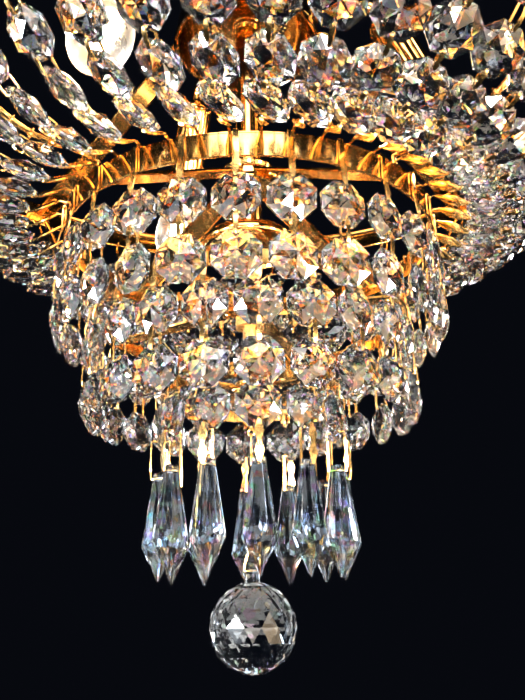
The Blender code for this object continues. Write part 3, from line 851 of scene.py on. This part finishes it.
def long_link(name, node_name, top_pivot, bottom_pivot, side, top_half, bottom_half):
    """A long link of wire with a bow tie of strip in its middle, flat in the plane of `side` and up."""
    bm = bmesh.new()
    mid = (top_pivot + bottom_pivot) / 2
    high_end = top_pivot + 0.25 * MM
    low_end = bottom_pivot - 0.35 * MM
    half = [(high_end, top_half), (high_end - 1.6 * MM, top_half), (mid + 3 * MM, 0.5 * MM), (mid, 0.9 * MM),
            (mid - 3 * MM, 0.5 * MM), (low_end + 1.8 * MM, bottom_half), (low_end, bottom_half)]
    other_half = [(z, -x) for z, x in reversed(half)]
    outline = [other_half.pop(), (high_end, 0), *half, (low_end, 0), *other_half]
    wire(bm, [UP * z + side * x for z, x in outline], 0.3 * MM, 8, closed=True)
    bow_shape = ((4.4, 0.5), (2.9, 1.6), (0, 0.7), (-2.9, 1.6), (-4.4, 0.5))
    bow = [(UP * (mid + height * MM), half_width * MM) for height, half_width in bow_shape]
    strip(bm, bow, side, 0.7 * MM, closed=False)
    piece(name, mesh_of(name, bm, 50), PIN_BRASS, node_name, node_name)


X, Y = Vector((1, 0, 0)), Vector((0, 1, 0))
CHAIN = [joints[name]["pos_m"][2] for name in ("ball_chain_swing", "ball_chain_sway", "ball_swing")]
long_link("upper_ball_link", "ball_link_upper", CHAIN[0], CHAIN[1], Y, 1.1 * MM, 1.1 * MM)
long_link("lower_ball_link", "ball_link_lower", CHAIN[1], CHAIN[2], X, 1.1 * MM, 2.6 * MM)
hook_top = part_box("ball_hook")[1].z + 0.3 * MM
bm = bmesh.new()
wire(bm, [Vector((0, 0, CHAIN[0] + 0.75 * MM)) + (X * math.cos(a) + UP * math.sin(a)) * 1.05 * MM
          for a in fan(16)], 0.3 * MM, 8, closed=True)
lathe(bm, [(0, hook_top), (0.7 * MM, hook_top), (0.7 * MM, CHAIN[0] + 2.2 * MM),
           (1.1 * MM, CHAIN[0] + 2.0 * MM), (0, CHAIN[0] + 1.6 * MM)], 12)
piece("ball_hook_eye", mesh_of("hook", bm, 50), PIN_BRASS, stands_for="ball_hook")

# %% [markdown]
# ## Bands, spokes and collars
# The rings are rolled brass bands with a small bead along both edges.  Flat spokes are soldered to the band
# and to a collar on the stem.  Fine reeds run along every strap and draw its reflections out into lines.


# %% Bands and spokes
REED_PITCH = 0.9 * MM
REED_DEEP = 0.11 * MM


def band(name, ring, cad_node, bead=0.35 * MM, steps=120):
    radius, top, low, half = ring
    slim = half - 0.12 * MM
    edge = [(slim, 2 * bead), (half, 1.6 * bead), (half, 0.5 * bead), (slim * 0.6, 0)]
    profile = [(radius + x, top - z) for x, z in edge] + [(radius - x, top - z) for x, z in reversed(edge)]
    profile += [(radius - x, low + z) for x, z in edge] + [(radius + x, low + z) for x, z in reversed(edge)]
    bm = bmesh.new()
    lathe(bm, profile, steps)
    return piece(name, mesh_of(name, bm, 40), BRASS, stands_for=cad_node)


def reeded_bar(width, long, thick, reeds):
    """A flat bar along Y whose two faces carry fine reeds that run its whole length."""
    steps = 4 * reeds
    outline = []
    for up in (1, -1):
        for i in range(steps + 1):
            share = i / steps * 2 - 1
            dip = REED_DEEP * (0.5 - 0.5 * math.cos(i * math.pi / 2)) + 0.25 * thick * abs(share) ** 12
            outline.append((up * share * width / 2, up * (thick / 2 - dip)))
    bm = bmesh.new()
    near, far = ([bm.verts.new((x, y, z)) for x, z in outline] for y in (-long / 2, long / 2))
    for i in range(len(outline)):
        j = (i + 1) % len(outline)
        bm.faces.new((near[i], near[j], far[j], far[i]))
    bm.faces.new(near)
    bm.faces.new(far)
    return mesh_of("reeded_bar", bm)


def straps(name, cad_node, angles, start, end, width, thick):
    """Reeded straps from start to end, both (radius, z), with a rivet near each end."""
    bm = bmesh.new()
    run = Vector((end[0] - start[0], end[1] - start[1]))
    bar = reeded_bar(width, run.length, thick, round(width / REED_PITCH))
    for angle in angles:
        side = around(angle)
        down = (outward(angle) * run.x + UP * run.y).normalized()
        face = side.cross(down)
        middle = polar((start[0] + end[0]) / 2, angle, (start[1] + end[1]) / 2)
        place = basis(side, down, face, middle)
        add_copy(bm, bar, place)
        for share in (-0.42, 0.42):
            head = place @ Matrix.Translation((0, run.length * share, thick / 2))
            lathe(bm, [(0, -0.2 * MM), (1.6 * MM, -0.2 * MM), (1.5 * MM, 0.35 * MM), (0.9 * MM, 0.75 * MM),
                       (0, 0.9 * MM)], 14, head)
    return piece(name, mesh_of(name, bm, 35), BRASS, stands_for=cad_node)


def collar(name, cad_node, inner, outer, z, high, finish=BRASS):
    half, lip = high / 2, 0.5 * MM
    profile = [(outer - lip, z + half), (outer, z + half - lip), (outer, z + half - 2.4 * lip),
               (outer - 0.5 * lip, z + half - 3 * lip), (outer - 0.5 * lip, z - half + 3 * lip),
               (outer, z - half + 2.4 * lip), (outer, z - half + lip), (outer - lip, z - half),
               (inner, z - half), (inner, z + half)]
    bm = bmesh.new()
    lathe(bm, profile, 48)
    return piece(name, mesh_of(name, bm, 40), finish, stands_for=cad_node)


STEM_RADIUS, STEM_LOW, STEM_HIGH = turned_size("stem_tube")
ROD_RADIUS, ROD_LOW, ROD_HIGH = turned_size("lower_rod")
QUARTERS = fan(4, math.radians(45))
band("ring_a_band", RING_A, "ring_a")
straps("ring_a_spokes", "ring_a", QUARTERS, (7.7 * MM, -131 * MM), (RING_A[0], -156.5 * MM),
       9 * MM, 1.5 * MM)
collar("ring_a_collar", "ring_a", STEM_RADIUS + 0.1 * MM, 9.5 * MM, -131 * MM, 8 * MM)
band("ring_b_band", RING_B, "ring_b", bead=0.25 * MM)
straps("ring_b_spokes", "ring_b", fan(4, math.radians(68)), (4.2 * MM, -182 * MM), (RING_B[0], -186.6 * MM),
       6 * MM, 1.3 * MM)
collar("ring_b_collar", "ring_b", ROD_RADIUS + 0.1 * MM, 5.5 * MM, -182 * MM, 6 * MM)
straps("ring_c_spokes", "ring_c", QUARTERS, (4.2 * MM, -211 * MM), (RING_C[0], -213 * MM), 5 * MM, 1.2 * MM)
collar("ring_c_collar", "ring_c", ROD_RADIUS + 0.1 * MM, 5.5 * MM, -211 * MM, 5 * MM)
print("rings: A", round(RING_A[0] / MM, 1), "B", round(RING_B[0] / MM, 1), "C", round(RING_C[0] / MM, 1))

# %% [markdown]
# ## The small ring and its holes
# The prism strings swing, so the smallest band is drilled and each loop of brass runs through its own hole.

# %% Ring C with drilled holes
ring_c = band("ring_c_band", RING_C, "ring_c", bead=0.2 * MM, steps=96)
prism_angles = [place_round_stem(f"prism_{k}")[1] for k in PRISMS]
ring_c_holes = [(polar(RING_C[0], a, RING_C[2] + RING_C_HOLE), outward(a)) for a in prism_angles]
ring_c.data = drilled(ring_c.data, ring_c_holes, 0.8 * MM, 4 * MM)
print("ring C:", len(ring_c_holes), "holes")

# %% [markdown]
# ## The outer ring
# The widest band carries the basket.  Four straps join it to a collar under the canopy, and four thin ribs
# follow the sag of the strings down to the main ring, with small loops bent in the wire.

# %% Outer frame
OUTER_RADIUS = turned_size("outer_frame")[0]
OUTER_LOW = -93 * MM  # lower edge of the widest band; the ribs go on below it
OUTER = (OUTER_RADIUS - BAND_HALF, OUTER_LOW + 10 * MM, OUTER_LOW, BAND_HALF)
band("outer_band", OUTER, "outer_frame", bead=0.6 * MM, steps=180)
straps("outer_straps", "outer_frame", QUARTERS, (8.5 * MM, -40.5 * MM), (OUTER[0], -88 * MM),
       10 * MM, 1.5 * MM)
collar("outer_collar", "outer_frame", STEM_RADIUS + 0.1 * MM, 10 * MM, -40.5 * MM, 7 * MM)
hoop = bmesh.new()
wire(hoop, [polar(BASKET_OUTER[0], a, BASKET_OUTER[1]) for a in fan(120)], 0.6 * MM, 8, closed=True)
piece("basket_hoop", mesh_of("hoop", hoop, 50), BRASS, stands_for="outer_frame")
RIB_RISE = 5 * MM


def rib_point(angle, t):
    r, z, run = sagging(t)
    return polar(r + run.y * RIB_RISE, angle, z - run.x * RIB_RISE)


for k, angle in enumerate(QUARTERS, start=1):
    rib = bmesh.new()
    points = [polar(OUTER[0], angle, OUTER_LOW + 2.5 * MM)]
    points.append(polar(OUTER[0] - 4 * MM, angle, OUTER_LOW + 1.5 * MM))
    points += [rib_point(angle, 0.16 + 0.76 * i / 22) for i in range(23)]
    points += [polar(RING_A[0], angle, RING_A[1] + 3 * MM), polar(RING_A[0], angle, RING_A[1] - 0.2 * MM)]
    wire(rib, points, 0.95 * MM, 10)
    for i in range(8):
        t = 0.2 + 0.09 * i
        middle = rib_point(angle, t)
        run = (rib_point(angle, t + 0.01) - middle).normalized()
        side, face = around(angle), around(angle).cross(run)
        wire(rib, [middle + (side * math.cos(a) + face * math.sin(a)) * 1.5 * MM for a in fan(14)],
             0.4 * MM, 6, closed=True)
    piece(f"outer_rib_{k}", mesh_of("rib", rib, 60), BRASS, stands_for="outer_frame")
print("outer ring:", round(OUTER[0] / MM, 1), "mm radius")

# %% [markdown]
# ## Canopy, stem and bell
# Everything on the stem is turned.  A profile of a few points with small steps and beads says more than a
# smooth cone would, because each step holds a bright line.


# %% Turned parts on the stem
def turned_piece(name, profile, cad_node, steps=72, finish=BRASS, slot="brass", ripple=None):
    bm = bmesh.new()
    lathe(bm, [(r * MM, z * MM) for r, z in profile], steps, ripple=ripple)
    return piece(name, mesh_of(name, bm, 32), finish, stands_for=cad_node, slot=slot)


def drawn(angle, radius, z):
    """Faint lines along a drawn tube: three rows of waves that never fall in step."""
    if radius < 4 * MM:
        return radius
    waves = math.cos(17 * angle) + math.cos(29 * angle + 1) + math.cos(41 * angle + 2)
    return radius - 0.018 * MM * (2 + waves)


stem = STEM_RADIUS / MM
stem_low, stem_high = STEM_LOW / MM, STEM_HIGH / MM
stem_end = [(stem, 1.2), (stem - 0.25, 1), (stem - 0.25, 0.4), (stem, 0), (stem - 1.5, 0)]
stem_profile = [(stem, z) for z in (stem_high, -28, -42, -100)]
stem_profile += [(r, stem_low + rise) for r, rise in stem_end]
stem_profile.append((stem - 1.5, stem_high))
turned_piece("stem", stem_profile, "stem_tube", 164, ripple=drawn)
sleeve_r, sleeve_low, sleeve_high = [v / MM for v in turned_size("stem_sleeve")]
sleeve_end = [(0, 2.4), (0.35, 2.1), (0.35, 1.6), (0, 1.3), (0, 0.3), (0.3, 0)]  # a groove near the mouth
sleeve_profile = [(sleeve_r, sleeve_high)]
sleeve_profile += [(sleeve_r - cut, sleeve_low + rise) for cut, rise in sleeve_end]
sleeve_profile += [(stem + 0.1, sleeve_low), (stem + 0.1, sleeve_high)]
turned_piece("sleeve", sleeve_profile, "stem_sleeve")
cap_r, cap_low, cap_high = [v / MM for v in turned_size("stem_cap")]
cap_outside = [(stem + 0.8, 0), (stem + 1.4, 0.6), (7.6, 0.7), (8.2, 0.2), (9.2, 0.5), (12, 1.1), (14, 1.9),
               (16, 3.4), (17.1, 4.7), (17.4, 5.4), (cap_r - 0.1, 5.6), (cap_r, 6.2)]
cap_rim = [(cap_r, 0.5), (cap_r - 0.3, 0), (cap_r - 0.9, 0), (cap_r - 1.1, 0.6)]
cap_inside = [(16.6, 5.4), (13.5, 2.9), (8.3, 1.9), (7.4, 4.0), (6.8, 4.5), (2.9, 4.5), (2.9, 0)]
cap_profile = [(r, cap_high - down) for r, down in cap_outside]
cap_profile += [(r, cap_low + rise) for r, rise in cap_rim]
cap_profile += [(r, cap_high - down) for r, down in cap_inside]
turned_piece("cap", cap_profile, "stem_cap", 96)
canopy_r = turned_size("canopy")[0] / MM
canopy_profile = [
    (canopy_r, -0.1), (canopy_r, -1.6), (canopy_r - 0.5, -2.2), (canopy_r - 0.5, -3.4),
    (canopy_r - 0.9, -5.6), (42, -9.4), (38.2, -13.6), (33, -17.2), (29, -19.2), (28.4, -20.1), (26.4, -20.9),
    (20, -23), (14, -24.7), (10, -25.6), (stem + 0.1, -25.9), (stem + 0.1, -24.8), (12.6, -24.1),
    (25.4, -19.8), (37, -12.8), (43, -5.4), (43.8, -0.1)]
turned_piece("canopy_shell", canopy_profile, "canopy", 96)
bell_low, bell_high = [v / MM for v in turned_size("lamp_bell")[1:]]
bell_profile = [
    (9, bell_high), (12.6, -45.4), (17, -47.4), (17.5, -48.4), (21, -51), (24, -54.8), (26, -60),
    (27.2, -66), (27.5, -70.4), (28.1, -71.2), (28.3, -72), (27.9, -72.8), (27.2, -73), (26.6, -72.5),
    (26.4, -70), (25.9, -64), (24.6, -58.8), (22, -54), (17, -49.4), (12, -47.6), (stem + 0.2, -47.3),
    (stem + 0.2, bell_high)]
turned_piece("bell_shell", bell_profile, "lamp_bell", 96, BELL_BRASS)
print("canopy radius", round(canopy_r, 1), "mm; bell mouth at", round(bell_low, 1), "mm")

# %% [markdown]
# ## Rod, nuts, finial and bracket
# The nuts are six-sided with chamfered corners, and the finial has a ripple of fine flutes, so a hand can
# grip it.


# %% Nuts and rod
def six_sided(angle, radius, _z):
    """The reach of a hexagon whose corners lie on the radius."""
    third = math.pi / 3
    return radius * math.cos(math.pi / 6) / math.cos((angle % third) - math.pi / 6)


def hex_nut(name, cad_node, bore, finish, slot):
    low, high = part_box(cad_node)
    half = (high.z - low.z) / 2 / MM
    z = (high.z + low.z) / 2 / MM
    reach = max(high.x, high.y) / MM
    bm = bmesh.new()
    outside = [(reach * 0.9, half), (reach, half * 0.72), (reach, -half * 0.72), (reach * 0.9, -half)]
    profile = [(r * MM, (z + h) * MM) for r, h in outside + [(bore, -half), (bore, half)]]
    lathe(bm, profile, 36, ripple=lambda a, r, h: six_sided(a, r, h) if r > bore * MM * 1.01 else r)
    return piece(name, mesh_of(name, bm, 25), finish, stands_for=cad_node, slot=slot)


hex_nut("canopy_hex_nut", "canopy_nut", stem + 0.1, BRASS, "brass")
hex_nut("rod_lock_nut", "lock_nut", 2.6, ROD_BRASS, "brass_rod")
rod = ROD_RADIUS / MM
rod_low, rod_high = ROD_LOW / MM, ROD_HIGH / MM


def threaded(angle, radius, z):
    """A screw thread: the crest goes round once for each millimetre of height."""
    if radius < rod * 0.9:
        return radius
    return radius - 0.16 * MM * (0.5 + 0.5 * math.cos(angle - z / MM * 2 * math.pi))


steps_down = int((rod_high - rod_low - 1) * 3)
thread = [(0, rod_high), (rod * 0.8, rod_high)]
thread += [(rod, rod_high - 0.5 - i / 3) for i in range(steps_down)]
thread += [(rod * 0.8, rod_low), (0, rod_low)]
turned_piece("threaded_rod", thread, "lower_rod", 18, ROD_BRASS, "brass_rod", ripple=threaded)
finial_low, finial_high = [v / MM for v in turned_size("finial_nut")[1:]]


def gripped(angle, radius, z):
    return radius - (0.22 * MM * (0.5 + 0.5 * math.cos(24 * angle)) if radius > 6.2 * MM else 0)


finial_steps = [
    (2.6, 0), (5.8, 0), (6.1, 0.3), (6.5, 0.7), (6.5, 2.2), (6.0, 2.6), (5.4, 2.8), (5.6, 3.4), (4.9, 4.7),
    (3.2, 5.8), (2.2, 6.2), (1.6, 7.0)]
finial_profile = [(0, rod_low - 0.3), (2.6, rod_low - 0.3)]
finial_profile += [(r, finial_high - down) for r, down in finial_steps]
finial_profile.append((0, finial_low))
turned_piece("finial", finial_profile, "finial_nut", 96, ripple=gripped)
print("finial:", round(finial_high - finial_low, 1), "mm high; thread rows:", steps_down)

# %% [markdown]
# ## Lamp arms, holders and lamps
# Three curved arms leave the bell and turn down.  Each ends in a holder that hangs steeply between the
# strings; its brass cover is fluted like a column, with a rolled rim at its mouth, and holds a frosted
# lamp.  The arm is a tube swept along a bend, with a small nut where it leaves the bell.

# %% Lamps
LAMP_LEAN = math.radians(67)
LAMP_START = (50.4 * MM, -58.0 * MM)
LAMP_ANGLES = fan(3, math.radians(86))
HOLDER = (6.0, 50.0)  # distances along the axis, in millimetres
LAMP = (50.3, 80.0)
ARM_BEND = [(23, -57.5), (30, -57.2), (38, -57), (42, -57), (45, -57.2), (47.2, -57.6), (49, -58.3),
            (50.3, -59.2), (51.2, -60.2), (51.9, -61.5), (52.6, -63.2)]


def lamp_place(angle, distance):
    """+Z along the lamp's axis, at a distance in millimetres from its start."""
    r = LAMP_START[0] + distance * MM * math.cos(LAMP_LEAN)
    place = polar(r, angle, LAMP_START[1] - distance * MM * math.sin(LAMP_LEAN))
    return Matrix.Translation(place) @ Matrix.Rotation(angle, 4, "Z") @ Matrix.Rotation(
        math.pi / 2 + LAMP_LEAN, 4, "X")


def fluted(angle, radius, z):
    """Twenty-four flutes that fade out towards the plain rims."""
    if radius < 6.6 * MM:
        return radius
    share = min(1.0, max(0.0, min(z / MM - 5.5, 40.5 - z / MM)))
    return radius - 0.42 * MM * share * abs(math.sin(12 * angle))


def on_axis(points):
    return [(r * MM, z * MM) for r, z in points]


holder_profile = on_axis([
    (0, 44), (5.8, 44), (6.6, 43.9), (7.1, 43.5), (7.2, 42.8), (6.9, 42.2), (6.6, 41.9), (7.0, 41.2),
    (7.1, 40), (7.1, 24), (7.1, 7), (7.0, 5.4), (6.5, 4.8), (7.1, 4.2), (7.1, 3.2), (6.4, 2.2), (5.2, 1.2),
    (3.8, 0.5), (0, 0.5)])
nut_profile = on_axis([(0, -1.5), (4.6, -1.5), (5.0, -1.1), (5.0, 1.1), (4.6, 1.5), (0, 1.5)])
bulb_profile = on_axis([
    (0, 29.6), (1.6, 29.4), (3.4, 28.7), (5.4, 27.2), (7.0, 25.2), (8.4, 22.6), (9.3, 19.8), (9.7, 16.8),
    (9.6, 13.6), (9.0, 10.4), (8.0, 7.4), (7.0, 4.8), (6.2, 2.6), (5.9, 0.3), (0, 0.3)])
core_profile = on_axis([(0, 22), (1.6, 21), (2.4, 18.5), (2.4, 12), (1.8, 9), (1.0, 7.5), (0, 7.2)])
for k, angle in enumerate(LAMP_ANGLES, start=1):
    place = lamp_place(angle, HOLDER[0])
    holder = bmesh.new()
    lathe(holder, holder_profile, 96, place, fluted)
    piece(f"fluted_holder_{k}", mesh_of("holder", holder, 40), BRASS, stands_for=f"lamp_holder_{k}")
    arm = bmesh.new()
    wire(arm, [polar(r * MM, angle, z * MM) for r, z in ARM_BEND], 2.5 * MM, 20)
    turn = Matrix.Rotation(angle, 4, "Z") @ Matrix.Rotation(math.pi / 2, 4, "X")
    lathe(arm, nut_profile, 36, Matrix.Translation(polar(26.6 * MM, angle, -57.4 * MM)) @ turn, six_sided)
    piece(f"lamp_arm_{k}", mesh_of("arm", arm, 40), BRASS, stands_for="lamp_bell")
    bulb = bmesh.new()
    lathe(bulb, bulb_profile, 40, lamp_place(angle, LAMP[0]))
    shell = piece(f"frosted_lamp_{k}", mesh_of("lamp", bulb, 60), LAMP_GLASS, stands_for=f"lamp_{k}",
                  slot="lamp_glass")
    shell.visible_shadow = False
    core = bmesh.new()
    lathe(core, core_profile, 20, lamp_place(angle, LAMP[0]))
    piece(f"lamp_core_{k}", mesh_of("core", core, 60), LAMP_CORE, stands_for=f"lamp_{k}", slot="lamp_glass")
print("three lamps lean", round(math.degrees(LAMP_LEAN)), "degrees")

# %% [markdown]
# ## The ceiling bracket
# A pressed steel strap is screwed to the ceiling and holds the stem.  Two slots let it meet the holes of
# any ceiling box.

# %% Bracket
low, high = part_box("ceiling_bracket")
size = high - low
bm = bmesh.new()
bmesh.ops.create_cube(bm, size=1, matrix=Matrix.Translation((low + high) / 2) @ Matrix.Diagonal((*size, 1)))
upright = [e for e in bm.edges if abs((e.verts[0].co - e.verts[1].co).z) > 1 * MM]
bmesh.ops.bevel(bm, geom=upright, offset=6 * MM, segments=6, affect="EDGES")
bracket = mesh_of("bracket", bm)
for x in (22, 24, 26):  # three holes in a row run together into a slot
    bracket = drilled(bracket, [(Vector((s * x * MM, 0, low.z)), UP) for s in (-1, 1)], 2.3 * MM, 8 * MM)
bracket.shade_smooth()
bracket.set_sharp_from_angle(angle=math.radians(30))
piece("bracket_strap", bracket, STEEL, stands_for="ceiling_bracket", slot="steel")
print("bracket:", [round(v / MM) for v in size], "mm,", len(bracket.polygons), "faces")

# %% [markdown]
# ## Room and light
# Crystal needs dark around it and a few bright, soft shapes to mirror: the dark keeps the facets apart and
# the lights make them flash.  The floor is plain and pale, far below the lamp, and it stays out of what the
# stones and the brass show.  Four wide panels give the tones, and nine small squares give the sharp glints.

# %% Floor, world and lights
FLOOR_Z = -1.35
floor_bm = bmesh.new()
bmesh.ops.create_circle(floor_bm, cap_ends=True, segments=96, radius=3.0,
                        matrix=Matrix.Translation((0, 0, FLOOR_Z)))
floor = bpy.data.objects.new("floor", mesh_of("floor", floor_bm))
bpy.context.scene.collection.objects.link(floor)
FLOOR_FINISH, tree, shader = principled("pale_floor")
plaster = node(tree, "ShaderNodeTexNoise")
plaster.inputs["Scale"].default_value = 3.0
tone = mixed(tree, plaster.outputs["Fac"], (0.66, 0.65, 0.63, 1), (0.74, 0.73, 0.71, 1))
tree.links.new(tone, shader.inputs["Base Color"])
shader.inputs["Roughness"].default_value = 0.75
floor.data.materials.append(FLOOR_FINISH)
floor.visible_transmission = False  # the stones show the dark room and not the floor
floor.visible_glossy = False  # and so does the brass

world = bpy.data.worlds.new("dark_room")
world.use_nodes = True
world.node_tree.nodes["Background"].inputs["Color"].default_value = (0.0022, 0.0027, 0.0045, 1)
bpy.context.scene.world = world
AIM = Vector((0, 0, -0.18))
BEAM = math.radians(80)


def soft_light(name, place, width, power, colour=(1, 1, 1)):
    """A square panel of light turned towards the middle of the chandelier, in a limited beam."""
    data = bpy.data.lights.new(name, "AREA")
    data.spread = BEAM
    data.size = width
    data.energy = power
    data.color = colour
    lamp = bpy.data.objects.new(name, data)
    lamp.location = place
    lamp.rotation_euler = (AIM - Vector(place)).to_track_quat("-Z", "Y").to_euler()
    lamp.visible_camera = False
    bpy.context.scene.collection.objects.link(lamp)
    return lamp


WARM, COOL, PLAIN, GOLDEN = (1, 0.90, 0.80), (0.80, 0.89, 1), (1, 1, 1), (1, 0.76, 0.5)
soft_light("panel_left", (-0.80, -0.75, -0.42), 0.8, 1.8, COOL)
soft_light("panel_front", (0.05, -1.05, -0.50), 0.6, 1.0, WARM)
soft_light("panel_right", (0.85, -0.70, -0.38), 0.8, 2.4, GOLDEN)
soft_light("panel_high", (0.0, -0.80, 0.55), 0.7, 2.4, PLAIN)
GLINT_REACH = 0.88
glints = [(-75, -0.35, COOL), (-48, -0.18, PLAIN), (-24, -0.42, PLAIN), (4, -0.22, WARM), (30, -0.45, COOL),
          (52, -0.20, PLAIN), (80, -0.38, WARM), (128, -0.12, WARM), (-132, -0.12, COOL)]
for i, (degrees, z, colour) in enumerate(glints, start=1):
    soft_light(f"glint_{i}", polar(GLINT_REACH, math.radians(degrees), z), 0.13, 3.6, colour)
for shown in PIECES.objects:
    if shown.get("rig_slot") == "crystal":
        shown.visible_shadow = False
